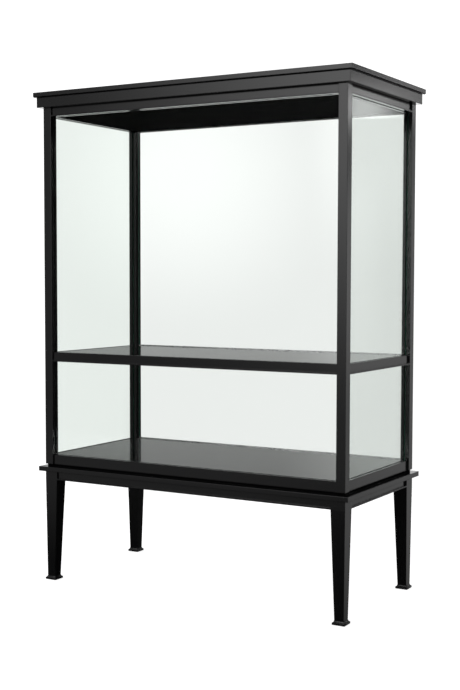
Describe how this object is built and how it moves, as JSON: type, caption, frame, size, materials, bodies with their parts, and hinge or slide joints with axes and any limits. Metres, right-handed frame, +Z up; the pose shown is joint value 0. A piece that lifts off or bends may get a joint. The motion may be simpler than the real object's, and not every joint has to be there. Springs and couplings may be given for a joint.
{
  "type": "glass display showcase",
  "caption": "Tall black framed glass showcase on a low stand with tapered legs, with a shelf, a cornice and pivoting glass doors at the rear.",
  "frame": {"origin": "on the floor, under the middle of the case", "axes": "+Z up, front glass faces -Y, doors open towards +Y, +X to the right seen from the front"},
  "size_m": [1.346, 0.666, 1.9],
  "materials": {
    "black_lacquer": "satin black lacquer",
    "gloss_black_panel": "high gloss black laminate",
    "clear_glass": "clear polished, slightly green",
    "black_metal": "satin black paint",
    "steel": "zinc plated",
    "chrome": "polished",
    "brass": "machined",
    "black_rubber": "matte black",
    "nylon": "moulded, dark grey",
    "softwood": "plain sawn"
  },
  "bodies": {
    "case": {"apron_front": "black_lacquer", "apron_left": "black_lacquer", "apron_rear": "black_lacquer", "apron_right": "black_lacquer", "base_plate": "black_lacquer", "bottom_rail_front": "black_lacquer", "bottom_rail_left": "black_lacquer", "bottom_rail_rear": "black_lacquer", "bottom_rail_right": "black_lacquer", "brace_bolts": "steel", "ceiling_panel": "gloss_black_panel", "ceiling_screws": "black_metal", "corner_braces": "softwood", "cornice_bolts": "steel", "cornice_cleats": "black_lacquer", "deck": "gloss_black_panel", "floor_glides": "nylon", "foot_caps": "black_lacquer", "frieze_front": "black_lacquer", "frieze_left": "black_lacquer", "frieze_rear": "black_lacquer", "frieze_right": "black_lacquer", "glass_front_lower": "clear_glass", "glass_front_upper": "clear_glass", "glass_left_lower": "clear_glass", "glass_left_upper": "clear_glass", "glass_right_lower": "clear_glass", "glass_right_upper": "clear_glass", "glazing_gaskets": "black_rubber", "leg_front_left": "black_lacquer", "leg_front_right": "black_lacquer", "leg_rear_left": "black_lacquer", "leg_rear_right": "black_lacquer", "mid_rail_front": "black_lacquer", "mid_rail_left": "black_lacquer", "mid_rail_rear": "black_lacquer", "mid_rail_right": "black_lacquer", "panel_bearers": "black_metal", "pivot_bushes": "brass", "post_front_left": "black_lacquer", "post_front_right": "black_lacquer", "post_rear_left": "black_lacquer", "post_rear_right": "black_lacquer", "post_studs": "steel", "shelf": "gloss_black_panel", "top_plate": "black_lacquer", "top_rail_front": "black_lacquer", "top_rail_left": "black_lacquer", "top_rail_rear": "black_lacquer", "top_rail_right": "black_lacquer", "turn_button_screw": "steel"},
    "upper_door": {"upper_door_glass": "clear_glass", "upper_door_channels": "black_metal", "upper_door_pivot_pins": "steel", "upper_door_knob": "chrome"},
    "lower_door": {"lower_door_glass": "clear_glass", "lower_door_channels": "black_metal", "lower_door_pivot_pins": "steel", "lower_door_knob": "chrome"},
    "latch": {"turn_button": "black_metal"}
  },
  "joints": [
    {"name": "upper_door_hinge", "type": "hinge", "parent": "case", "child": "upper_door", "pos_m": [-0.601, 0.286, 1.3535], "axis": [0, 0, 1], "range_deg": [0, 95]},
    {"name": "lower_door_hinge", "type": "hinge", "parent": "case", "child": "lower_door", "pos_m": [-0.601, 0.286, 0.68], "axis": [0, 0, 1], "range_deg": [0, 95]},
    {"name": "latch_pivot", "type": "hinge", "parent": "case", "child": "latch", "pos_m": [0.55, 0.291, 0.8805], "axis": [0, 1, 0], "range_deg": [0, 90]}
  ]
}
